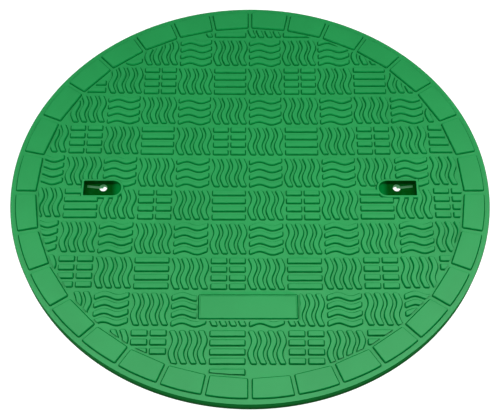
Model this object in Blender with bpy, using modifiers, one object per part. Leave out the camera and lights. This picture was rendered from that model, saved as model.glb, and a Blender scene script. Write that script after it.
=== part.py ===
"""Oval plastic manhole cover, one moulding, in metres with +Z up and its rim standing on z = 0.

The oval lid has a rim wall, a square grid of ribs below and two keyhole lifting pockets. On its deck
stand a ring of blocks and a field of square tread cells. The cells take turns between strokes that
wave along Y, strokes that wave along X, full bars and split bars.
"""

import math

import bmesh
import bpy

LENGTH = 0.650
WIDTH = 0.608
DECK_TOP = 0.0185
RELIEF = 0.003
EDGE_CHAMFER = 0.001
OVAL_STEPS = 60

DECK_THICKNESS = 0.0065
RIM_WALL = 0.012
RIB_PITCH = 0.068
RIB_WIDTH = 0.004

BLOCKS = 32
BLOCK_GAP = 0.006
BORDER = 0.008
RING_WIDTH = 0.0343
RING_SHIFT = -0.0009
GAP_LEAN = math.radians(1.4)

CELL = 0.050
CELLS_ACROSS = 12
TREAD_CENTRE = (-0.0032, -0.0018)
STROKES = 4
STROKE_PITCH = 0.0122
STROKE_LENGTH = 0.045
WAVE_WIDTH = 0.0085
WAVE_SWING = 0.0026
WAVE_BENDS = 3
BAR_WIDTH = 0.0076
BAR_SPLIT = 0.0042
FIELD_MARGIN = 0.0035
LEAST_PIECE = 0.0195
LEAST_BAY = 0.038

PLATE_CENTRE = (-0.0023, -0.1742)
PLATE_SIZE = (0.127, 0.033)
PLATE_HEIGHT = 0.002
PLATE_MARGIN = 0.003

POCKET_INNER = 0.1752
POCKET_OUTER = 0.2258
POCKET_AXIS = -0.0018
POCKET_WIDTH = 0.0218
POCKET_FLOOR = 0.013
POCKET_RAMP = 0.0125
POCKET_WALL = 0.004
CUP_FOOT = 0.006
COLLAR_WIDTH = 0.0036
COLLAR_LAP = 0.0006
ARC_STEPS = 6
HOLE_CENTRE = (0.1997, 0.0030)
HOLE_DIAMETER = 0.0104
HOLE_STEPS = 10
SLOT_END = (0.2225, 0.0055)
SLOT_WIDTH = 0.0036

SINK = 0.001
CLEAR = 0.010
WELD_REACH = 1e-6
MERGE_REACH = 1e-5

PLASTIC_COLOUR = (0.042, 0.330, 0.110, 1.0)
PLASTIC_ROUGHNESS = 0.45
SMOOTH_ANGLE = math.radians(30)
FLAT_ANGLE = math.radians(0.1)


def clear_scene():
    """Takes away every object that the file opened with."""
    for thing in list(bpy.data.objects):
        bpy.data.objects.remove(thing, do_unlink=True)


def new_collection(name, hidden=False):
    collection = bpy.data.collections.new(name)
    bpy.context.scene.collection.children.link(collection)
    collection.hide_render = hidden
    return collection


def green_plastic():
    material = bpy.data.materials.new("green_plastic")
    material.use_nodes = True
    shader = material.node_tree.nodes["Principled BSDF"]
    shader.inputs["Base Color"].default_value = PLASTIC_COLOUR
    shader.inputs["Roughness"].default_value = PLASTIC_ROUGHNESS
    return material


def oval_radius(angle, inset=0.0):
    """Distance from the centre to the oval, drawn in by an inset, in the direction of an angle."""
    half_length = LENGTH / 2 - inset
    half_width = WIDTH / 2 - inset
    return 1 / math.hypot(math.cos(angle) / half_length, math.sin(angle) / half_width)


def oval_point(angle, inset=0.0):
    radius = oval_radius(angle, inset)
    return radius * math.cos(angle), radius * math.sin(angle)


def oval_outline(inset):
    half_length = LENGTH / 2 - inset
    half_width = WIDTH / 2 - inset
    turns = [2 * math.pi * step / OVAL_STEPS for step in range(OVAL_STEPS)]
    return [(half_length * math.cos(turn), half_width * math.sin(turn)) for turn in turns]


def rectangle(centre, size):
    x, y = centre
    half_x = size[0] / 2
    half_y = size[1] / 2
    return [
        (x - half_x, y - half_y),
        (x + half_x, y - half_y),
        (x + half_x, y + half_y),
        (x - half_x, y + half_y),
    ]


def mesh_object(name, mesh, collection):
    thing = bpy.data.objects.new(name, mesh)
    collection.objects.link(thing)
    thing.hide_render = collection.hide_render
    thing.display_type = "WIRE" if collection.hide_render else "TEXTURED"
    return thing


def prisms(name, outlines, low, high, collection):
    """Flat outlines filled and given a thickness from low to high, as one mesh."""
    curve = bpy.data.curves.new(name, "CURVE")
    curve.dimensions = "2D"
    curve.fill_mode = "BOTH"
    curve.extrude = (high - low) / 2
    for outline in outlines:
        spline = curve.splines.new("POLY")
        spline.points.add(len(outline) - 1)
        spline.use_cyclic_u = True
        for point, (x, y) in zip(spline.points, outline):
            point.co = (x, y, 0, 1)
    guide = bpy.data.objects.new(name + "_outline", curve)
    collection.objects.link(guide)
    guide.location.z = (low + high) / 2
    bpy.context.view_layer.update()
    graph = bpy.context.evaluated_depsgraph_get()
    mesh = bpy.data.meshes.new_from_object(guide.evaluated_get(graph))
    mesh.transform(guide.matrix_world)
    bpy.data.objects.remove(guide, do_unlink=True)
    weld(mesh)
    return mesh_object(name, mesh, collection)


def weld(mesh):
    """Joins a filled outline's caps to its walls and turns its faces out."""
    shape = bmesh.new()
    shape.from_mesh(mesh)
    bmesh.ops.remove_doubles(shape, verts=shape.verts, dist=WELD_REACH)
    bmesh.ops.recalc_face_normals(shape, faces=shape.faces)
    shape.to_mesh(mesh)
    shape.free()


def join_flat_faces(mesh):
    """Makes one face of each flat area, so that later cuts leave no stray points on it."""
    shape = bmesh.new()
    shape.from_mesh(mesh)
    bmesh.ops.dissolve_limit(shape, angle_limit=FLAT_ANGLE, verts=shape.verts, edges=shape.edges)
    shape.to_mesh(mesh)
    shape.free()


def combine(target, other, operation):
    """Applies one exact Boolean to the target and leaves its result as a plain mesh."""
    modifier = target.modifiers.new(other.name, "BOOLEAN")
    modifier.operation = operation
    modifier.solver = "EXACT"
    modifier.object = other
    bpy.context.view_layer.update()
    graph = bpy.context.evaluated_depsgraph_get()
    mesh = bpy.data.meshes.new_from_object(target.evaluated_get(graph))
    target.modifiers.remove(modifier)
    target.data = mesh


def lid_blank(name, collection):
    """The oval lid before its underside is hollowed: a turned disc, drawn in to its width."""
    half_length = LENGTH / 2
    profile = [
        (0, DECK_TOP),
        (half_length - EDGE_CHAMFER, DECK_TOP),
        (half_length, DECK_TOP - EDGE_CHAMFER),
        (half_length, 0),
        (0, 0),
    ]
    mesh = bpy.data.meshes.new(name)
    edges = [(step, step + 1) for step in range(len(profile) - 1)]
    mesh.from_pydata([(x, 0, z) for x, z in profile], edges, [])
    disc = mesh_object(name, mesh, collection)
    disc.scale.y = WIDTH / LENGTH
    screw = disc.modifiers.new("turn", "SCREW")
    screw.steps = OVAL_STEPS
    screw.render_steps = OVAL_STEPS
    screw.use_merge_vertices = True
    screw.merge_threshold = MERGE_REACH
    bpy.context.view_layer.update()
    graph = bpy.context.evaluated_depsgraph_get()
    turned = bpy.data.meshes.new_from_object(disc.evaluated_get(graph))
    turned.transform(disc.matrix_world)
    disc.modifiers.clear()
    disc.scale.y = 1
    disc.data = turned
    weld(turned)
    join_flat_faces(turned)
    return disc


def pocket_outline(side, grow=0.0):
    """A lifting pocket seen from above: half round towards the lid's centre, square away from it."""
    half = POCKET_WIDTH / 2 + grow
    outer = POCKET_OUTER + grow
    centre = POCKET_INNER + POCKET_WIDTH / 2
    turns = [math.pi / 2 + math.pi * step / ARC_STEPS for step in range(ARC_STEPS + 1)]
    arc = [(centre + half * math.cos(turn), half * math.sin(turn)) for turn in turns]
    points = arc + [(outer, -half), (outer, half)]
    return [(side * x, POCKET_AXIS + y) for x, y in points]


def rib_bays(collection):
    """The square hollows below the deck, cut short at the rim wall and round the cups of the pockets.
    No rib crosses below a cup."""
    ceiling = DECK_TOP - DECK_THICKNESS
    count = math.ceil(LENGTH / 2 / RIB_PITCH)
    size = (RIB_PITCH - RIB_WIDTH, RIB_PITCH - RIB_WIDTH)
    bays = []
    for column in range(-count, count):
        for row in range(-count, count + 1):
            centre = ((column + 0.5) * RIB_PITCH, row * RIB_PITCH)
            bays.append(rectangle(centre, size))
    hollow = prisms("rib_bays", bays, -CLEAR, ceiling, collection)
    inside = prisms("rim_inside", [oval_outline(RIM_WALL)], -CLEAR * 2, ceiling + CLEAR, collection)
    combine(hollow, inside, "INTERSECT")
    cups = [pocket_outline(side, POCKET_WALL) for side in (-1, 1)]
    combine(hollow, prisms("pocket_cups", cups, CUP_FOOT, ceiling + CLEAR, collection), "DIFFERENCE")
    drop_crumbs(hollow.data, LEAST_BAY)
    feet = [pocket_outline(side) for side in (-1, 1)]
    combine(hollow, prisms("cup_feet", feet, -CLEAR, CUP_FOOT, collection), "UNION")
    return hollow


def gap_angle(index):
    """Direction of a gap in the ring. Those near the two pockets lean towards the plate."""
    even = 2 * math.pi * index / BLOCKS
    return even - GAP_LEAN * math.cos(even) ** 3


def inner_point(angle, inset):
    x, y = oval_point(angle, inset)
    return x, y + RING_SHIFT


def ring_block(index):
    """One block of the ring, between two gaps: a straight inner edge and an outer edge on the oval."""
    first = gap_angle(index)
    last = gap_angle(index + 1)
    start = (-math.sin(first) * BLOCK_GAP / 2, math.cos(first) * BLOCK_GAP / 2)
    end = (math.sin(last) * BLOCK_GAP / 2, -math.cos(last) * BLOCK_GAP / 2)
    corners = [
        (inner_point(first, RING_WIDTH), start),
        (oval_point(first, BORDER), start),
        (oval_point((first + last) / 2, BORDER), (0, 0)),
        (oval_point(last, BORDER), end),
        (inner_point(last, RING_WIDTH), end),
    ]
    return [(point[0] + shift[0], point[1] + shift[1]) for point, shift in corners]


def ring_blocks(collection):
    outlines = [ring_block(index) for index in range(BLOCKS)]
    return prisms("ring_blocks", outlines, DECK_TOP - SINK, DECK_TOP + RELIEF, collection)


def cell_kind(row, column):
    """Tread of a cell: rows count from the far side and columns from the left."""
    if row == 0 and column == 5:
        return "full_bars"
    if row % 2 == 1:
        return "waves_y" if column % 2 == 1 else "waves_x"
    if column % 2 == 0:
        return "waves_y"
    return "full_bars" if (row // 2 + (column - 1) // 2) % 2 == 1 else "split_bars"


def cells():
    """Every cell's kind and centre, with the part cells at the field's edge."""
    middle = (CELLS_ACROSS - 1) / 2
    for row in range(CELLS_ACROSS):
        for column in range(CELLS_ACROSS):
            x = TREAD_CENTRE[0] + (column - middle) * CELL
            y = TREAD_CENTRE[1] + (middle - row) * CELL
            yield cell_kind(row, column), (x, y)


def stroke_offsets():
    return [(stroke - (STROKES - 1) / 2) * STROKE_PITCH for stroke in range(STROKES)]


def bar_outlines():
    """Outlines of the straight bars, four to a cell, the split ones with a gap at their middle."""
    outlines = []
    short = (STROKE_LENGTH - BAR_SPLIT) / 2
    shift = (short + BAR_SPLIT) / 2
    for kind, (x, y) in cells():
        for offset in stroke_offsets():
            if kind == "full_bars":
                outlines.append(rectangle((x, y + offset), (STROKE_LENGTH, BAR_WIDTH)))
            if kind == "split_bars":
                outlines.append(rectangle((x - shift, y + offset), (short, BAR_WIDTH)))
                outlines.append(rectangle((x + shift, y + offset), (short, BAR_WIDTH)))
    return outlines


def wave_sections(centre, offset, along_y):
    """Cross sections of one crested wave stroke: left foot, crest and right foot, square to the cell."""
    sections = []
    for bend in range(WAVE_BENDS + 1):
        along = (bend / WAVE_BENDS - 0.5) * STROKE_LENGTH
        swing = -WAVE_SWING * math.cos(math.pi * bend)
        section = []
        for side, height in ((-1, -SINK), (0, RELIEF), (1, -SINK)):
            across = offset + swing + side * WAVE_WIDTH / 2
            x = centre[0] + (across if along_y else along)
            y = centre[1] + (-along if along_y else across)
            section.append((x, y, DECK_TOP + height))
        sections.append(section)
    return sections


def loft(shape, sections):
    """Joins three-point sections into a closed crested bar."""
    rings = [[shape.verts.new(point) for point in section] for section in sections]
    for before, after in zip(rings, rings[1:]):
        for first, second in ((0, 1), (1, 2), (2, 0)):
            shape.faces.new((before[first], before[second], after[second], after[first]))
    shape.faces.new(reversed(rings[0]))
    shape.faces.new(rings[-1])


def wave_strokes(collection):
    """All the wave strokes of the field, four to a cell, each a loft along its own zigzag."""
    shape = bmesh.new()
    for kind, centre in cells():
        if kind in ("waves_x", "waves_y"):
            for offset in stroke_offsets():
                loft(shape, wave_sections(centre, offset, kind == "waves_y"))
    bmesh.ops.recalc_face_normals(shape, faces=shape.faces)
    mesh = bpy.data.meshes.new("wave_strokes")
    shape.to_mesh(mesh)
    shape.free()
    return mesh_object("wave_strokes", mesh, collection)


def field_outline():
    """The many-sided edge of the tread field, a margin inside the ring's straight inner edges."""
    return [inner_point(gap_angle(index), RING_WIDTH + FIELD_MARGIN) for index in range(BLOCKS)]


def trim_tread(tread, collection):
    """Keeps the tread inside the field, clear of the plate and out of the pockets, lapping the collars."""
    low = DECK_TOP - CLEAR
    high = DECK_TOP + CLEAR
    combine(tread, prisms("field", [field_outline()], low, high, collection), "INTERSECT")
    margin = (PLATE_SIZE[0] + 2 * PLATE_MARGIN, PLATE_SIZE[1] + 2 * PLATE_MARGIN)
    outlines = [rectangle(PLATE_CENTRE, margin)]
    outlines += [pocket_outline(side, COLLAR_WIDTH - COLLAR_LAP) for side in (-1, 1)]
    combine(tread, prisms("kept_clear", outlines, low, high, collection), "DIFFERENCE")
    drop_crumbs(tread.data, LEAST_PIECE)


def drop_crumbs(mesh, least):
    """Takes away separate pieces that a cut left shorter and narrower than the least worth moulding."""
    shape = bmesh.new()
    shape.from_mesh(mesh)
    waiting = set(shape.verts)
    crumbs = []
    while waiting:
        piece = connected(waiting.pop())
        waiting -= piece
        spans = [max(v.co[axis] for v in piece) - min(v.co[axis] for v in piece) for axis in (0, 1)]
        if max(spans) < least:
            crumbs += piece
    bmesh.ops.delete(shape, geom=crumbs, context="VERTS")
    shape.to_mesh(mesh)
    shape.free()


def connected(start):
    """Every corner that edges join to this one."""
    found = {start}
    edge = [start]
    while edge:
        corner = edge.pop()
        near = {link.other_vert(corner) for link in corner.link_edges} - found
        found |= near
        edge += near
    return found


def pocket_collars(collection):
    outlines = [pocket_outline(side, COLLAR_WIDTH) for side in (-1, 1)]
    return prisms("pocket_collars", outlines, DECK_TOP - SINK, DECK_TOP + RELIEF, collection)


def plain_plate(collection):
    outline = rectangle(PLATE_CENTRE, PLATE_SIZE)
    return prisms("plain_plate", [outline], DECK_TOP - SINK, DECK_TOP + PLATE_HEIGHT, collection)


def pocket_hollows(collection):
    """Both pockets down to their floor, with a ramp left standing at the end near the lid's centre."""
    outlines = [pocket_outline(side) for side in (-1, 1)]
    hollows = prisms("pockets", outlines, POCKET_FLOOR, DECK_TOP + CLEAR, collection)
    shape = bmesh.new()
    for side in (-1, 1):
        toe = side * (POCKET_INNER + POCKET_RAMP)
        head = side * POCKET_INNER
        back = side * (POCKET_INNER - CLEAR)
        profile = [(toe, POCKET_FLOOR), (head, DECK_TOP), (back, DECK_TOP), (back, 0), (toe, 0)]
        near = [shape.verts.new((x, -POCKET_WIDTH, z)) for x, z in profile]
        wedge = shape.faces.new(near)
        swept = bmesh.ops.extrude_face_region(shape, geom=[wedge])["geom"]
        moved = [part for part in swept if isinstance(part, bmesh.types.BMVert)]
        bmesh.ops.translate(shape, verts=moved, vec=(0, 2 * POCKET_WIDTH, 0))
    bmesh.ops.recalc_face_normals(shape, faces=shape.faces)
    mesh = bpy.data.meshes.new("pocket_ramps")
    shape.to_mesh(mesh)
    shape.free()
    combine(hollows, mesh_object("pocket_ramps", mesh, collection), "DIFFERENCE")
    return hollows


def keyholes(collection):
    """The hole and slot through each pocket's floor, for the blade and shank of a lifting key. The slot
    slants a little away from the plate."""
    radius = HOLE_DIAMETER / 2
    opening = math.asin(SLOT_WIDTH / HOLE_DIAMETER)
    slant = math.atan2(SLOT_END[1] - HOLE_CENTRE[1], SLOT_END[0] - HOLE_CENTRE[0])
    sweep = 2 * math.pi - 2 * opening
    turns = [slant + opening + sweep * step / HOLE_STEPS for step in range(HOLE_STEPS + 1)]
    x, y = HOLE_CENTRE
    points = [(x + radius * math.cos(turn), y + radius * math.sin(turn)) for turn in turns]
    points.append((SLOT_END[0], SLOT_END[1] - SLOT_WIDTH / 2))
    points.append((SLOT_END[0], SLOT_END[1] + SLOT_WIDTH / 2))
    outlines = [[(side * x, y) for x, y in points] for side in (-1, 1)]
    return prisms("keyholes", outlines, -CLEAR, POCKET_FLOOR + CLEAR / 2, collection)


def build_cover(parts, cutters):
    cover = lid_blank("cover", parts)
    combine(cover, rib_bays(cutters), "DIFFERENCE")
    combine(cover, ring_blocks(cutters), "UNION")
    combine(cover, plain_plate(cutters), "UNION")
    combine(cover, pocket_collars(cutters), "UNION")
    bars = prisms("bars", bar_outlines(), DECK_TOP - SINK, DECK_TOP + RELIEF, cutters)
    for tread in (bars, wave_strokes(cutters)):
        trim_tread(tread, cutters)
        combine(cover, tread, "UNION")
    combine(cover, pocket_hollows(cutters), "DIFFERENCE")
    combine(cover, keyholes(cutters), "DIFFERENCE")
    return cover


def finish(cover):
    """One material all over, with the round edges smooth and the corners sharp."""
    cover.data.materials.clear()
    cover.data.materials.append(green_plastic())
    cover.data.shade_smooth()
    cover.data.set_sharp_from_angle(angle=SMOOTH_ANGLE)


clear_scene()
finish(build_cover(new_collection("manhole_cover"), new_collection("cutters", hidden=True)))
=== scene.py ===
"""Looks of the oval plastic manhole cover: fine moulding, green plastic, floor and light.

Lengths are in metres, with +X along the lid, +Y away from the viewer and +Z up. The whole moulding
is one piece. Its relief is a set of pads: closed outlines carried up a short profile of insets.
"""

import math

import bmesh
import bpy
import numpy as np
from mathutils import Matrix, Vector


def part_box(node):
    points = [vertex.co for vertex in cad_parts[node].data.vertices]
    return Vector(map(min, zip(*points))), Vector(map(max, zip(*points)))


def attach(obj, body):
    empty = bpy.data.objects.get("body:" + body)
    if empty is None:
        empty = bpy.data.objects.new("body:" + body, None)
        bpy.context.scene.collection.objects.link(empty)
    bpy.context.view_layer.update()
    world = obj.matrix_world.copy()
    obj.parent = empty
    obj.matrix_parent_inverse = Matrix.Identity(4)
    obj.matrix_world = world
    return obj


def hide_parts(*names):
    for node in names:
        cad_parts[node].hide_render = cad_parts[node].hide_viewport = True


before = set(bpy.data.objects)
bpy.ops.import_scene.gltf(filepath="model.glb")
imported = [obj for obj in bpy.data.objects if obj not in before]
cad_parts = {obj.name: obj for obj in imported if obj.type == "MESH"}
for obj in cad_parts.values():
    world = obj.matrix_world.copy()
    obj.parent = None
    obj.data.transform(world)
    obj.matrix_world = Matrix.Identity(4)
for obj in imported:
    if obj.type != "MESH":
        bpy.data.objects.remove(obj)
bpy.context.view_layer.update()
LOW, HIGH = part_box("cover")

# The lid and its relief. A pad's wall starts at a flared foot and ends in a rounded edge. Sink is
# the small overlap of two pieces that are joined, and clear is a cutter's spare length.
LENGTH = HIGH.x - LOW.x
WIDTH = HIGH.y - LOW.y
RELIEF = 0.003
DECK_TOP = HIGH.z - RELIEF
LID_EDGE = 0.0012
OVAL_STEPS = 240
DRAFT = 0.0004
EDGE_RADIUS = 0.0005
FLARE = 0.0015
FLARE_HEIGHT = 0.0004
SINK = 0.001
CLEAR = 0.010
SNAP_REACH = 1e-7
SHARP_ANGLE = math.radians(50)

# The underside. The ceiling fillet is (inset, depth below the ceiling) from the wall inwards.
DECK_THICKNESS = 0.0065
RIM_WALL = 0.012
RIB_PITCH = 0.068
RIB_WIDTH = 0.004
LEAST_BAY = 0.038
BAY_CORNER = 0.003
BAY_DRAFT = 0.0004
BAY_FOOT = 0.0006
CEILING_FILLET = ((BAY_DRAFT, 0.0015), (0.0009, 0.0005), (0.0020, 0.0))

# The ring of blocks. Bar sizes set only the share of a block that its corners take.
BLOCKS = 32
BLOCK_GAP = 0.006
BORDER = 0.008
RING_WIDTH = 0.0343
RING_SHIFT = -0.0009
GAP_LEAN = math.radians(1.4)
BLOCK_LENGTH = 0.057
BLOCK_DEPTH = 0.026
BLOCK_CORNER = 0.0013

# The tread. A row's bow and drop multiply the squares of X and of Y, and its turn multiplies X.
CELL = 0.050
CELL_DEPTH = 0.0504
CELLS_ACROSS = 12
TREAD_CENTRE = (-0.0035, -0.0018)
ROW_BOW = 0.057
ROW_TURN = 0.002
ROW_DROP = 0.020
STROKES = 4
STROKE_PITCH = 0.0122
STROKE_LENGTH = 0.0442
STROKE_CORNER = 0.0011
LEAST_STROKE = 0.005
WAVE_PITCH = 0.0118
WAVE_WIDTH = 0.0070
WAVE_SWING = 0.0024
WAVE_SHARPNESS = 0.30
WAVE_LEAD = 0.70
BAR_WIDTH = 0.0076
BAR_SPLIT = 0.0042
FIELD_MARGIN = 0.0035
DECK_GRID = CELL / 4

# The bare plate.
PLATE_CENTRE = (-0.0023, -0.1742)
PLATE_SIZE = (0.127, 0.033)
PLATE_HEIGHT = 0.002
PLATE_CORNER = 0.0015
PLATE_EDGE = 0.0004
PLATE_MARGIN = 0.003
PLATE_FAR_MARGIN = 0.006
PANEL_BORDER = 0.0016
PANEL_DEPTH = 0.0010
PANEL_CORNER = 0.0010
PANEL_FILLET = 0.0003
PANEL_FLARE = 0.0004

# The lifting pockets. The right one is given and the left one mirrors it. Fillets are (inset,
# distance), measured up from the pocket's floor or down from its collar's top.
POCKET_INNER = 0.1752
POCKET_OUTER = 0.2258
POCKET_AXIS = -0.0018
POCKET_WIDTH = 0.0218
POCKET_CORNER = 0.0010
POCKET_FLOOR = 0.013
POCKET_RAMP = 0.0125
POCKET_WALL = 0.004
FLOOR_FILLET = ((0.0005, 0.0), (0.0002, 0.0004))
MOUTH_FILLET = ((0.0, 0.0008), (-0.0002, 0.0003), (-0.0007, 0.0))
CUP_FOOT = 0.006
COLLAR_WIDTH = 0.0036
COLLAR_LAP = 0.0006
HOLE_CENTRE = (0.2004, 0.0030)
HOLE_DIAMETER = 0.0104
SLOT_END = (0.2225, 0.0055)
SLOT_WIDTH = 0.0036

# Colours. A fade is the pair of places between which one colour goes over to the next. A face is
# steep where its normal's upward part is below the step's slope.
FRESH_GREEN = (0.0105, 0.288, 0.069)
CLOUD_GREEN = (0.0090, 0.268, 0.063)
# Painted shade at the foot of each relief step, going over to fresh green towards the step's top.
STEP_SHADE_GREEN = (0.000, 0.105, 0.016)
# Painted shade on the rim's outer wall, darker still towards its foot.
RIM_SHADE_GREEN = (0.001, 0.145, 0.020)
FOOT_SHADE_GREEN = (0.000, 0.060, 0.006)
# Painted shade inside the pockets: lighter on the ramp, darker towards the pocket's outer end.
RAMP_SHADE_GREEN = (0.000, 0.170, 0.025)
POCKET_SHADE_GREEN = (0.000, 0.048, 0.002)
# Heights over which the rim wall's painted shade darkens towards its foot.
WALL_FADE = (DECK_TOP - 0.003, 0.002)
DECK_FADE = (DECK_TOP - 0.0006, DECK_TOP - 0.0002)
# Heights over which a step's painted shade fades out.
STEP_FADE = (DECK_TOP + 0.0003, DECK_TOP + 0.0007)
# Places along the lid over which a pocket's painted shade darkens away from its ramp.
RAMP_FADE = (POCKET_INNER + 0.004, POCKET_INNER + POCKET_RAMP + 0.002)
POCKET_REACH = POCKET_WIDTH / 2 + 0.0015
STEP_SLOPE = 0.96

# Textures: noise is (repeats a metre, detail), grain is (noise, depth, strength).
SATIN_ROUGHNESS = 0.5
SATIN_SHEEN = 0.45
DEEP_ROUGHNESS = 0.9
DEEP_SHEEN = 0.02
CLOUDS = (14, 4)
CLOUD_RANGE = (0.32, 0.68)
SPOTS = (160, 3)
SPOT_RANGE = (0.35, 0.75)
SPOT_SHARE = 0.3
FINE_GRAIN = ((900, 3), 0.00012, 0.35)
SINK_MARKS = ((45, 1), 0.0006, 0.25)
ROUGH_GRAIN = ((600, 3), 0.0002, 0.5)

# The studio. A lamp is (place, diameter, watts).
FLOOR_LEVEL = -0.0004
FLOOR_SIZE = 30
FLOOR_GREY = (0.3, 0.3, 0.3)
FLOOR_ROUGHNESS = 0.9
FLOOR_GLOW = 0.95
SKY_STRENGTH = 0.12
LAMPS = {
    "front_lamp": ((-0.20, -1.00, 1.80), 0.7, 4.4),
    "top_lamp": ((0.0, -0.20, 0.80), 0.6, 2.7),
    "left_lamp": ((-0.70, -0.10, 0.85), 0.6, 4.9),
    "side_lamp": ((0.70, -0.02, 0.85), 0.6, 6.2),
}

# The camera, with its sensor and lens in millimetres.
SENSOR = 36.0
LENS = 76.34
CAMERA_ELEVATION = math.radians(62.35)
CAMERA_DISTANCE = 1.429
CAMERA_AIM = (0.0, -0.0294, DECK_TOP)


def oval(angle, inset):
    """Points of the lid's oval at an angle from its centre: the ellipse drawn in by an inset on each
    half axis, at the radius 1 / hypot(cos / half length, sin / half width)."""
    half_length = LENGTH / 2 - inset
    half_width = WIDTH / 2 - inset
    radius = 1 / np.hypot(np.cos(angle) / half_length, np.sin(angle) / half_width)
    return np.stack([radius * np.cos(angle), radius * np.sin(angle)], axis=-1)


def oval_outline(inset):
    return oval(np.arange(OVAL_STEPS) * 2 * math.pi / OVAL_STEPS, inset)[None]


def rounded_corners(corners, reach, steps=4):
    """Outlines (n, k, 2) with each corner replaced by a short parabola that starts and ends reach
    away from it, or just under half of a side that is shorter than twice the reach."""
    most = 0.45
    before = np.roll(corners, 1, axis=1) - corners
    after = np.roll(corners, -1, axis=1) - corners
    start = corners + before * np.minimum(most, reach / np.linalg.norm(before, axis=2))[..., None]
    end = corners + after * np.minimum(most, reach / np.linalg.norm(after, axis=2))[..., None]
    start, corner, end = start[:, :, None], corners[:, :, None], end[:, :, None]
    t = np.linspace(0, 1, steps)[None, None, :, None]
    curve = (1 - t) ** 2 * start + 2 * t * (1 - t) * corner + t**2 * end
    return curve.reshape(len(corners), -1, 2)


def rounded_bar(length, width, radius, side_points, corner_points=3):
    """One rectangle outline (k, 2) with quarter-circle corners and evenly spaced points along its
    long sides."""
    reach_x = length / 2 - radius
    reach_y = width / 2 - radius
    turn = np.linspace(0, math.pi / 2, corner_points)
    arcs = [
        np.stack([x + radius * np.cos(turn + start), y + radius * np.sin(turn + start)], axis=1)
        for x, y, start in (
            (reach_x, -reach_y, -math.pi / 2),
            (reach_x, reach_y, 0),
            (-reach_x, reach_y, math.pi / 2),
            (-reach_x, -reach_y, math.pi),
        )
    ]
    along = np.linspace(-reach_x, reach_x, side_points + 2)[1:-1]
    lower = np.stack([along, np.full_like(along, -width / 2)], axis=1)
    upper = np.stack([along[::-1], np.full_like(along, width / 2)], axis=1)
    return np.concatenate([lower, arcs[0], arcs[1], upper, arcs[2], arcs[3]])


def facing_up(outlines):
    """The same outlines (n, k, 2), each running anticlockwise, by the sign of its shoelace area."""
    after = np.roll(outlines, -1, axis=1)
    area = (outlines[..., 0] * after[..., 1] - after[..., 0] * outlines[..., 1]).sum(axis=1)
    return np.where(area[:, None, None] < 0, outlines[:, ::-1], outlines)


def pads(name, outlines, profile):
    """Closed pads: each outline (n, k, 2) repeated at every (inset, height) of a profile, moved
    inwards along its own normal by the inset, with the levels joined by quads and the first and last
    closed flat. The total inset stays below an outline's corner radius, or its loops would cross."""
    loops = facing_up(outlines)
    along = np.roll(loops, -1, axis=1) - np.roll(loops, 1, axis=1)
    along /= np.linalg.norm(along, axis=2, keepdims=True)
    inward = np.stack([-along[..., 1], along[..., 0]], axis=-1)
    inset, height = np.array(profile).T
    flat = loops[:, None] + inset[None, :, None, None] * inward[:, None]
    level = np.broadcast_to(height[None, :, None, None], flat.shape[:3] + (1,))
    points = np.concatenate([flat, level], axis=-1)
    index = np.arange(flat.shape[0] * flat.shape[1] * flat.shape[2]).reshape(flat.shape[:3])
    beside = np.roll(index, -1, axis=2)
    quads = np.stack([index[:, :-1], beside[:, :-1], beside[:, 1:], index[:, 1:]], axis=-1)
    faces = quads.reshape(-1, 4).tolist() + index[:, -1].tolist() + index[:, 0, ::-1].tolist()
    mesh = bpy.data.meshes.new(name)
    mesh.from_pydata(points.reshape(-1, 3), [], faces)
    mesh.validate()
    piece = bpy.data.objects.new(name, mesh)
    bpy.context.scene.collection.objects.link(piece)
    return piece


def slab(name, outlines, low, high):
    """Closed upright walls round each outline, from the low height to the high one."""
    return pads(name, outlines, [(0, low), (0, high)])


def combine(target, other, operation):
    """Applies one Boolean between closed meshes to the target, then removes the other piece."""
    modifier = target.modifiers.new(operation, "BOOLEAN")
    modifier.operation = operation
    modifier.solver = "MANIFOLD"
    modifier.object = other
    bpy.context.view_layer.update()
    graph = bpy.context.evaluated_depsgraph_get()
    mesh = bpy.data.meshes.new_from_object(target.evaluated_get(graph))
    target.modifiers.remove(modifier)
    target.data = mesh
    bpy.data.objects.remove(other, do_unlink=True)


def edge_profile(height, radius=EDGE_RADIUS, steps=2):
    """A pad's profile: a flared foot, a wall with a little draft, then a quarter-round edge up to
    the flat top."""
    turn = np.linspace(0, math.pi / 2, steps + 1)
    inset = DRAFT + radius * (1 - np.cos(turn))
    level = DECK_TOP + height - radius * (1 - np.sin(turn))
    return [(-FLARE, DECK_TOP - SINK / 4), (0, DECK_TOP + FLARE_HEIGHT), *zip(inset, level)]


def lid_blank():
    """The lid before it is hollowed: the oval carried up a profile with quarter-round edges, of
    which the lower one is half the size of the upper one."""
    turn = np.linspace(0, math.pi / 2, 5)
    lower = list(zip(LID_EDGE / 2 * (1 - np.sin(turn)), LID_EDGE / 2 * (1 - np.cos(turn))))
    upper = list(zip(LID_EDGE * (1 - np.cos(turn)), DECK_TOP - LID_EDGE * (1 - np.sin(turn))))
    return pads("moulded_lid", oval_outline(0), lower + upper)


def gap_angles():
    """Directions of the ring's gaps: even steps, less a lean that follows the cube of the cosine."""
    even = np.arange(BLOCKS + 1) * 2 * math.pi / BLOCKS
    return even - GAP_LEAN * np.cos(even) ** 3


def inner_edge(angle, inset):
    return oval(angle, inset) + (0, RING_SHIFT)


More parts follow.
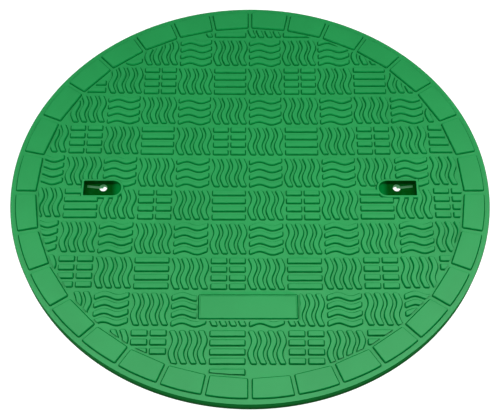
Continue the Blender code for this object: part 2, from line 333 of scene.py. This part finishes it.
def ring_blocks():
    """The ring's blocks: a rounded bar's outline laid between a straight chord inside and the oval
    outside. The point at shares u along and v across is (1 - v) times the chord at u plus v times
    the oval at u."""
    turns = gap_angles()
    first = turns[:-1, None]
    last = turns[1:, None]
    bar = rounded_bar(BLOCK_LENGTH, BLOCK_DEPTH, BLOCK_CORNER, side_points=9)
    along = bar[None, :, 0] / BLOCK_LENGTH + 0.5
    across = (bar[None, :, 1] / BLOCK_DEPTH + 0.5)[..., None]
    start = np.stack([-np.sin(first), np.cos(first)], axis=-1) * BLOCK_GAP / 2
    end = np.stack([np.sin(last), -np.cos(last)], axis=-1) * BLOCK_GAP / 2
    offset = start + (end - start) * along[..., None]
    from_chord = inner_edge(first, RING_WIDTH)
    chord = from_chord + (inner_edge(last, RING_WIDTH) - from_chord) * along[..., None] + offset
    arc = oval(first + (last - first) * along, BORDER) + offset
    return pads("ring_blocks", (1 - across) * chord + across * arc, edge_profile(RELIEF))


def cell_kind(row, column):
    """Tread of a cell: rows count from the far side and columns from the left. The middle cells of
    the first and last rows don't follow the pattern."""
    last = CELLS_ACROSS - 1
    if (row, column) in ((0, 5), (last, 5)):
        return "full_bars"
    if (row, column) == (last, 6):
        return "bare"
    if row % 2 == 1:
        return "waves_y" if column % 2 == 1 else "waves_x"
    if column % 2 == 0:
        return "waves_y"
    return "full_bars" if (row // 2 + (column - 1) // 2) % 2 == 1 else "split_bars"


def cell_centres(kind):
    """Centres (n, 2) of every cell of one kind. A row bows away from the viewer with the square of
    X, turns a little with X, and drops towards the viewer with the square of its own Y."""
    middle = (CELLS_ACROSS - 1) / 2
    found = [
        ((column - middle) * CELL, (middle - row) * CELL_DEPTH)
        for row in range(CELLS_ACROSS)
        for column in range(CELLS_ACROSS)
        if cell_kind(row, column) == kind
    ]
    centres = np.array(found) + TREAD_CENTRE
    x, y = centres.T
    return np.stack([x, y + ROW_BOW * x**2 - ROW_TURN * x - ROW_DROP * y**2], axis=1)


def wave(along):
    """Sideways swing of a stroke: a zigzag of one and a half turns with softened bends, which is the
    arcsine of a share of a sine. The lead leaves out part of the first and last bends."""
    share = along / STROKE_LENGTH + 0.5
    phase = -math.pi / 2 + WAVE_LEAD + share * (3 * math.pi - 2 * WAVE_LEAD)
    return WAVE_SWING * np.arcsin(WAVE_SHARPNESS * np.sin(phase)) / math.asin(WAVE_SHARPNESS)


def in_box(points, centre, size):
    return (np.abs(points - centre) < np.array(size) / 2).all(axis=-1)


def plate_space():
    """Centre and size of the plate's clear space, which is wider on the plate's far side."""
    length, width = PLATE_SIZE
    centre = (PLATE_CENTRE[0], PLATE_CENTRE[1] + (PLATE_FAR_MARGIN - PLATE_MARGIN) / 2)
    return centre, (length + 2 * PLATE_MARGIN, width + PLATE_MARGIN + PLATE_FAR_MARGIN)


def in_field(points):
    """Whether points (..., 2) lie inside the field's oval, off the plate and off the pockets."""
    edge = RING_WIDTH + FIELD_MARGIN
    x, y = points[..., 0], points[..., 1]
    inside = np.hypot(x / (LENGTH / 2 - edge), (y - RING_SHIFT) / (WIDTH / 2 - edge)) < 1
    middle = ((POCKET_INNER + POCKET_OUTER) / 2, POCKET_AXIS)
    space = (POCKET_OUTER - POCKET_INNER + 2 * COLLAR_WIDTH, POCKET_WIDTH + 2 * COLLAR_WIDTH)
    on_pocket = in_box(np.stack([np.abs(x), y], axis=-1), middle, space)
    return inside & ~in_box(points, *plate_space()) & ~on_pocket


def placed(outline, centres, offsets, along_y, length):
    """One outline set at every offset of every cell, without those of which less than the least
    stroke is inside the field. Strokes along Y are the same outline turned a quarter turn."""
    spots = 40
    sideways = outline[None, None] + np.array([0, 1]) * offsets[None, :, None, None]
    middle = np.stack([np.linspace(-length / 2, length / 2, spots), np.zeros(spots)], axis=1)
    line = middle[None, None] + np.array([0, 1]) * offsets[None, :, None, None]
    if along_y:
        sideways = sideways[..., ::-1] * (1, -1)
        line = line[..., ::-1] * (1, -1)
    shapes = (centres[:, None, None] + sideways).reshape(-1, len(outline), 2)
    lines = (centres[:, None, None] + line).reshape(-1, spots, 2)
    inside = in_field(lines).mean(axis=1) * length
    return shapes[inside > LEAST_STROKE]


def stroke_offsets(pitch=STROKE_PITCH):
    return (np.arange(STROKES) - (STROKES - 1) / 2) * pitch


def wave_strokes():
    """Every wavy stroke: a rounded bar's outline bent sideways by the wave, set four to a cell."""
    outline = rounded_bar(
        STROKE_LENGTH, WAVE_WIDTH, STROKE_CORNER, side_points=17, corner_points=2
    )
    outline[:, 1] += wave(outline[:, 0])
    across, down = cell_centres("waves_x"), cell_centres("waves_y")
    found = [
        placed(outline, across, stroke_offsets(WAVE_PITCH), False, STROKE_LENGTH),
        placed(outline, down, stroke_offsets(), True, STROKE_LENGTH),
    ]
    return pads("wave_strokes", np.concatenate(found), edge_profile(RELIEF, steps=1))


def bars():
    """Every straight bar: rounded rectangles, four whole ones or four pairs of halves to a cell."""
    short = (STROKE_LENGTH - BAR_SPLIT) / 2
    whole = rounded_bar(STROKE_LENGTH, BAR_WIDTH, STROKE_CORNER, side_points=1)
    half = rounded_bar(short, BAR_WIDTH, STROKE_CORNER, side_points=1)
    shift = np.array([(short + BAR_SPLIT) / 2, 0])
    split = cell_centres("split_bars")
    found = [
        placed(whole, cell_centres("full_bars"), stroke_offsets(), False, STROKE_LENGTH),
        placed(half, split - shift, stroke_offsets(), False, short),
        placed(half, split + shift, stroke_offsets(), False, short),
    ]
    return pads("bars", np.concatenate(found), edge_profile(RELIEF))


def field_outline():
    return inner_edge(gap_angles()[:-1], RING_WIDTH + FIELD_MARGIN)[None]


def box_outline(centre, size):
    corners = np.array([(-1, -1), (1, -1), (1, 1), (-1, 1)]) * np.array(size) / 2
    return (corners + np.array(centre))[None]


def pocket_outlines(grow=0.0):
    """Both pockets from above: a half circle towards the lid's centre, and a square outer end."""
    half = POCKET_WIDTH / 2 + grow
    centre = POCKET_INNER + POCKET_WIDTH / 2
    turn = np.linspace(math.pi / 2, 3 * math.pi / 2, 17)
    arc = np.stack([centre + half * np.cos(turn), half * np.sin(turn)], axis=1)
    ends = np.array([(POCKET_OUTER + grow, -half), (POCKET_OUTER + grow, half)])
    right = np.concatenate([arc, ends]) + (0, POCKET_AXIS)
    both = np.stack([right, right * (-1, 1)])
    return rounded_corners(facing_up(both), POCKET_CORNER, steps=3)


def trim_tread(tread):
    """Keeps the tread inside the field and off the plate and pockets, lapping the collars."""
    low = DECK_TOP - CLEAR
    high = DECK_TOP + CLEAR
    collars = pocket_outlines(COLLAR_WIDTH - COLLAR_LAP)
    combine(tread, slab("field", field_outline(), low, high), "INTERSECT")
    combine(tread, slab("plate_clearance", box_outline(*plate_space()), low, high), "DIFFERENCE")
    combine(tread, slab("collar_clearance", collars, low, high), "DIFFERENCE")
    return tread


def plain_plate():
    """The bare plate: a low pad with a thin raised border round a slightly sunk panel."""
    length, width = PLATE_SIZE
    inner = (length - 2 * PANEL_BORDER, width - 2 * PANEL_BORDER)
    top = DECK_TOP + PLATE_HEIGHT
    outline = rounded_corners(box_outline(PLATE_CENTRE, PLATE_SIZE), PLATE_CORNER)
    panel = rounded_corners(box_outline(PLATE_CENTRE, inner), PANEL_CORNER)
    profile = [(PANEL_FILLET, top - PANEL_DEPTH), (0, top), (-PANEL_FLARE, DECK_TOP + CLEAR)]
    plate = pads("plain_plate", outline, edge_profile(PLATE_HEIGHT, radius=PLATE_EDGE))
    combine(plate, pads("panel", panel, profile), "DIFFERENCE")
    return plate


def bay_centres():
    """Centres (n, 2) of the rib bays: an even grid, without the bays of which the part inside the
    rim wall is shorter both ways than the least bay. A grid of spots in each bay measures it."""
    count = math.ceil(LENGTH / 2 / RIB_PITCH)
    column, row = np.meshgrid(np.arange(-count, count), np.arange(-count, count + 1))
    centres = np.stack([(column.ravel() + 0.5) * RIB_PITCH, row.ravel() * RIB_PITCH], axis=1)
    side = RIB_PITCH - RIB_WIDTH
    spot = np.linspace(-side / 2, side / 2, 33)
    grid = np.stack(np.meshgrid(spot, spot), axis=-1).reshape(-1, 2)
    points = centres[:, None] + grid[None]
    reach = (LENGTH / 2 - RIM_WALL, WIDTH / 2 - RIM_WALL)
    inside = np.hypot(points[..., 0] / reach[0], points[..., 1] / reach[1]) < 1
    high = np.where(inside[..., None], points, -np.inf).max(axis=1)
    low = np.where(inside[..., None], points, np.inf).min(axis=1)
    return centres[(high - low).max(axis=1) >= LEAST_BAY]


def rib_bays():
    """The square hollows below the deck, with round corners and a filleted ceiling, cut short at the
    rim wall and round the pockets' cups."""
    side = RIB_PITCH - RIB_WIDTH
    outline = rounded_bar(side, side, BAY_CORNER, side_points=1, corner_points=4)
    ceiling = DECK_TOP - DECK_THICKNESS
    profile = [(-BAY_DRAFT, -CLEAR), (-BAY_DRAFT, 0), (0, BAY_FOOT)]
    profile += [(inset, ceiling - depth) for inset, depth in CEILING_FILLET]
    bays = pads("rib_bays", bay_centres()[:, None] + outline[None], profile)
    high = ceiling + CLEAR
    combine(bays, slab("rim_inside", oval_outline(RIM_WALL), -2 * CLEAR, high), "INTERSECT")
    combine(bays, slab("pocket_cups", pocket_outlines(POCKET_WALL), CUP_FOOT, high), "DIFFERENCE")
    combine(bays, slab("cup_feet", pocket_outlines(), -CLEAR, CUP_FOOT), "UNION")
    return bays


def pocket_hollows():
    """Both pockets with a softened mouth, down to the floor, less the ramps at their inner ends. A
    ramp is its section in X and Z, carried along Y."""
    top = DECK_TOP + RELIEF
    profile = [(inset, POCKET_FLOOR + rise) for inset, rise in FLOOR_FILLET]
    profile += [(inset, top - depth) for inset, depth in MOUTH_FILLET]
    profile += [(MOUTH_FILLET[-1][0], top + CLEAR)]
    hollows = pads("pockets", pocket_outlines(), profile)
    ramp_end = POCKET_INNER + POCKET_RAMP
    behind = POCKET_INNER - CLEAR
    section = np.array([
        (ramp_end, POCKET_FLOOR), (POCKET_INNER, DECK_TOP), (behind, DECK_TOP),
        (behind, 0), (ramp_end, 0),
    ])
    for side in (-1, 1):
        wedge = slab("ramp", facing_up(section[None]), -POCKET_WIDTH, POCKET_WIDTH)
        points = np.array([vertex.co for vertex in wedge.data.vertices])
        turned = points[:, [0, 2, 1]] * (side, 1, 1)
        wedge.data.vertices.foreach_set("co", turned.astype(np.float32).ravel())
        if side > 0:
            wedge.data.flip_normals()
        combine(hollows, wedge, "DIFFERENCE")
    return hollows


def keyholes():
    """The round hole and narrow slot through each pocket's floor: an arc of the hole's circle that
    stops at the slot, whose far end is square. The slot slants a little away from the plate."""
    radius = HOLE_DIAMETER / 2
    opening = math.asin(SLOT_WIDTH / HOLE_DIAMETER)
    slant = math.atan2(SLOT_END[1] - HOLE_CENTRE[1], SLOT_END[0] - HOLE_CENTRE[0])
    turn = slant + np.linspace(opening, 2 * math.pi - opening, 33)
    ring = np.array(HOLE_CENTRE) + radius * np.stack([np.cos(turn), np.sin(turn)], axis=1)
    slot = np.array(SLOT_END) + np.array([(0, -SLOT_WIDTH / 2), (0, SLOT_WIDTH / 2)])
    right = np.concatenate([ring, slot])
    both = np.stack([right, right * (-1, 1)])
    return slab("keyholes", both, -CLEAR, POCKET_FLOOR + CLEAR / 2)


def split_by_grid(piece, spacing):
    """Cuts the faces of a closed mesh along evenly spaced planes across X and Y, so none has many
    corners."""
    mesh = bmesh.new()
    mesh.from_mesh(piece.data)
    count = math.ceil(LENGTH / 2 / spacing)
    for step in range(-count, count + 1):
        for across in (Vector((1, 0, 0)), Vector((0, 1, 0))):
            bmesh.ops.bisect_plane(
                mesh,
                geom=mesh.verts[:] + mesh.edges[:] + mesh.faces[:],
                dist=SNAP_REACH,
                plane_co=across * (step * spacing),
                plane_no=across,
            )
    mesh.to_mesh(piece.data)
    mesh.free()


def build_lid():
    """The whole moulding: the hollowed blank, its relief added pad by pad, then the pockets cut."""
    lid = lid_blank()
    combine(lid, rib_bays(), "DIFFERENCE")
    split_by_grid(lid, DECK_GRID)
    combine(lid, ring_blocks(), "UNION")
    combine(lid, plain_plate(), "UNION")
    combine(lid, pads("collars", pocket_outlines(COLLAR_WIDTH), edge_profile(RELIEF)), "UNION")
    combine(lid, trim_tread(bars()), "UNION")
    combine(lid, trim_tread(wave_strokes()), "UNION")
    combine(lid, pocket_hollows(), "DIFFERENCE")
    combine(lid, keyholes(), "DIFFERENCE")
    lid.data.shade_smooth()
    lid.data.set_sharp_from_angle(angle=SHARP_ANGLE)
    weighted = lid.modifiers.new("flat_tops", "WEIGHTED_NORMAL")
    weighted.keep_sharp = True
    return lid


def shaded_rough_faces(mesh):
    """One for each face of the relief's steps, the rim's outer wall and the pockets' insides, told
    by the face's centre and normal, and nought for every other face. The faces marked one get the
    rough material with its painted shade."""
    count = len(mesh.polygons)
    centre = np.empty(count * 3, np.float32)
    normal = np.empty(count * 3, np.float32)
    mesh.polygons.foreach_get("center", centre)
    mesh.polygons.foreach_get("normal", normal)
    x, y, height = centre.reshape(-1, 3).T
    steep = normal.reshape(-1, 3)[:, 2] < STEP_SLOPE
    step = steep & (height > DECK_TOP)
    edge = np.hypot(x / (LENGTH / 2 - SINK), y / (WIDTH / 2 - SINK)) > 1
    rim = edge & steep & (height > SINK / 2)
    middle = ((POCKET_INNER + POCKET_OUTER) / 2, 0)
    space = (POCKET_OUTER - POCKET_INNER + SINK, POCKET_WIDTH + SINK)
    inside = in_box(np.stack([np.abs(x), np.abs(y - POCKET_AXIS)], axis=1), middle, space)
    deep = (height > POCKET_FLOOR - SINK / 10) & (height < DECK_TOP + RELIEF - SINK / 2)
    return (step | rim | (inside & deep)).astype(np.int32)


def new_material(name, colour, roughness):
    material = bpy.data.materials.new(name)
    material.use_nodes = True
    shader = material.node_tree.nodes["Principled BSDF"]
    shader.inputs["Base Color"].default_value = (*colour, 1.0)
    shader.inputs["Roughness"].default_value = roughness
    return material, shader


def place_on_lid(tree):
    """The X, Y and Z outputs of a point's place on the lid, in metres."""
    place = tree.nodes.new("ShaderNodeTexCoord")
    split = tree.nodes.new("ShaderNodeSeparateXYZ")
    tree.links.new(place.outputs["Object"], split.inputs["Vector"])
    return split.outputs


def math_node(tree, operation, *values):
    """One Math node. Each value is a number or another node's output."""
    node = tree.nodes.new("ShaderNodeMath")
    node.operation = operation
    for socket, value in zip(node.inputs, values):
        if isinstance(value, (int, float)):
            socket.default_value = value
        else:
            tree.links.new(value, socket)
    return node.outputs[0]


def slope(tree, value, low, high):
    """A share that goes from 0 at the low value to 1 at the high one, with soft ends."""
    node = tree.nodes.new("ShaderNodeMapRange")
    node.interpolation_type = "SMOOTHSTEP"
    node.inputs["From Min"].default_value = low
    node.inputs["From Max"].default_value = high
    tree.links.new(value, node.inputs["Value"])
    return node.outputs["Result"]


def mixed(tree, share, first, second):
    """Goes from the first colour to the second. Each is a colour or another node's output."""
    node = tree.nodes.new("ShaderNodeMix")
    node.data_type = "RGBA"
    tree.links.new(share, node.inputs["Factor"])
    # A Mix node has an A, a B and a Result for each kind of value: 6, 7 and 2 are the colours'.
    for socket, colour in ((node.inputs[6], first), (node.inputs[7], second)):
        if isinstance(colour, tuple):
            socket.default_value = (*colour, 1.0)
        else:
            tree.links.new(colour, socket)
    return node.outputs[2]


def noise(tree, scale, detail):
    """A noise texture on Object coordinates, with its scale in repeats a metre."""
    place = tree.nodes.new("ShaderNodeTexCoord")
    texture = tree.nodes.new("ShaderNodeTexNoise")
    texture.inputs["Scale"].default_value = scale
    texture.inputs["Detail"].default_value = detail
    tree.links.new(place.outputs["Object"], texture.inputs["Vector"])
    return texture.outputs["Fac"]


def grain(tree, texture, depth, strength, normal=None):
    """A bump from a noise texture of its own, on top of another bump's normal if one is given."""
    node = tree.nodes.new("ShaderNodeBump")
    node.inputs["Distance"].default_value = depth
    node.inputs["Strength"].default_value = strength
    tree.links.new(noise(tree, *texture), node.inputs["Height"])
    if normal is not None:
        tree.links.new(normal, node.inputs["Normal"])
    return node.outputs["Normal"]


def green_plastic():
    """Satin green plastic: faint cloudy mottling in the colour, a fine moulded grain and slow sink
    marks."""
    material, shader = new_material("green_plastic", FRESH_GREEN, SATIN_ROUGHNESS)
    shader.inputs["Specular IOR Level"].default_value = SATIN_SHEEN
    tree = material.node_tree
    clouds = slope(tree, noise(tree, *CLOUDS), *CLOUD_RANGE)
    tree.links.new(mixed(tree, clouds, CLOUD_GREEN, FRESH_GREEN), shader.inputs["Base Color"])
    fine = grain(tree, *FINE_GRAIN)
    tree.links.new(grain(tree, *SINK_MARKS, normal=fine), shader.inputs["Normal"])
    return material


def rough_shaded_green():
    """The same plastic, rougher and nearly matt, on the relief's steps, the rim's outer wall and
    inside the pockets, in deeper greens that are painted shade. The painted shade darkens the wall
    to its foot, darkens a step at its foot and lightens it to its top, and darkens a pocket away
    from its ramp."""
    material, shader = new_material("rough_shaded_green", RIM_SHADE_GREEN, DEEP_ROUGHNESS)
    shader.inputs["Specular IOR Level"].default_value = DEEP_SHEEN
    tree = material.node_tree
    x, y, height = place_on_lid(tree)
    along = math_node(tree, "ABSOLUTE", x)
    across = math_node(tree, "ABSOLUTE", y)
    wall = mixed(tree, slope(tree, height, *WALL_FADE), RIM_SHADE_GREEN, FOOT_SHADE_GREEN)
    step = mixed(tree, slope(tree, height, *STEP_FADE), STEP_SHADE_GREEN, FRESH_GREEN)
    side = mixed(tree, slope(tree, height, *DECK_FADE), wall, step)
    pocket = mixed(tree, slope(tree, along, *RAMP_FADE), RAMP_SHADE_GREEN, POCKET_SHADE_GREEN)
    near_axis = math_node(tree, "LESS_THAN", across, POCKET_REACH)
    off_rim = math_node(tree, "LESS_THAN", along, POCKET_OUTER + SINK / 4)
    off_field = math_node(tree, "GREATER_THAN", along, POCKET_INNER - SINK / 4)
    in_length = math_node(tree, "MULTIPLY", off_rim, off_field)
    in_pocket = math_node(tree, "MULTIPLY", in_length, near_axis)
    deep = mixed(tree, in_pocket, side, pocket)
    # Random spots of the darker step green mixed over the painted shade.
    spots = slope(tree, noise(tree, *SPOTS), *SPOT_RANGE)
    shade_and_spots = mixed(tree, math_node(tree, "MULTIPLY", spots, SPOT_SHARE), deep, STEP_SHADE_GREEN)
    tree.links.new(shade_and_spots, shader.inputs["Base Color"])
    tree.links.new(grain(tree, *ROUGH_GRAIN), shader.inputs["Normal"])
    return material


def dress_lid():
    """The finished piece: the moulding with its smooth green and its rough green with painted shade.
    """
    lid = build_lid()
    lid.data.materials.clear()
    lid.data.materials.append(green_plastic())
    lid.data.materials.append(rough_shaded_green())
    lid.data.polygons.foreach_set("material_index", shaded_rough_faces(lid.data))
    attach(lid, "root")
    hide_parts("cover")


def studio_floor():
    """A plain pale floor, wide enough to fill every view, that glows softly like a light table."""
    bpy.ops.mesh.primitive_plane_add(size=FLOOR_SIZE, location=(0, 0, FLOOR_LEVEL))
    floor = bpy.context.object
    floor.name = "floor"
    material, shader = new_material("pale_floor", FLOOR_GREY, FLOOR_ROUGHNESS)
    shader.inputs["Emission Color"].default_value = (1.0, 1.0, 1.0, 1.0)
    shader.inputs["Emission Strength"].default_value = FLOOR_GLOW
    floor.data.materials.append(material)


def area_light(name, place, size, power):
    """A round soft lamp that faces the middle of the lid."""
    light = bpy.data.lights.new(name, "AREA")
    light.shape = "DISK"
    light.size = size
    light.energy = power
    holder = bpy.data.objects.new(name, light)
    holder.location = place
    holder.rotation_euler = (-Vector(place)).to_track_quat("-Z", "Y").to_euler()
    holder.visible_camera = False
    bpy.context.scene.collection.objects.link(holder)


def studio_light():
    world = bpy.data.worlds.new("studio")
    world.use_nodes = True
    sky = world.node_tree.nodes["Background"]
    sky.inputs["Color"].default_value = (1, 1, 1, 1)
    sky.inputs["Strength"].default_value = SKY_STRENGTH
    bpy.context.scene.world = world
    for name, lamp in LAMPS.items():
        area_light(name, *lamp)


def photo_camera():
    """The camera at the photograph's angle, aimed at the deck point behind the picture's centre."""
    back = Vector((0, -math.cos(CAMERA_ELEVATION), math.sin(CAMERA_ELEVATION)))
    data = bpy.data.cameras.new("camera")
    data.sensor_width = SENSOR
    data.lens = LENS
    camera = bpy.data.objects.new("camera", data)
    camera.location = Vector(CAMERA_AIM) + back * CAMERA_DISTANCE
    camera.rotation_euler = (-back).to_track_quat("-Z", "Y").to_euler()
    bpy.context.scene.collection.objects.link(camera)
    bpy.context.scene.camera = camera


bpy.context.scene.view_settings.view_transform = "Standard"
photo_camera()
studio_light()
studio_floor()
dress_lid()
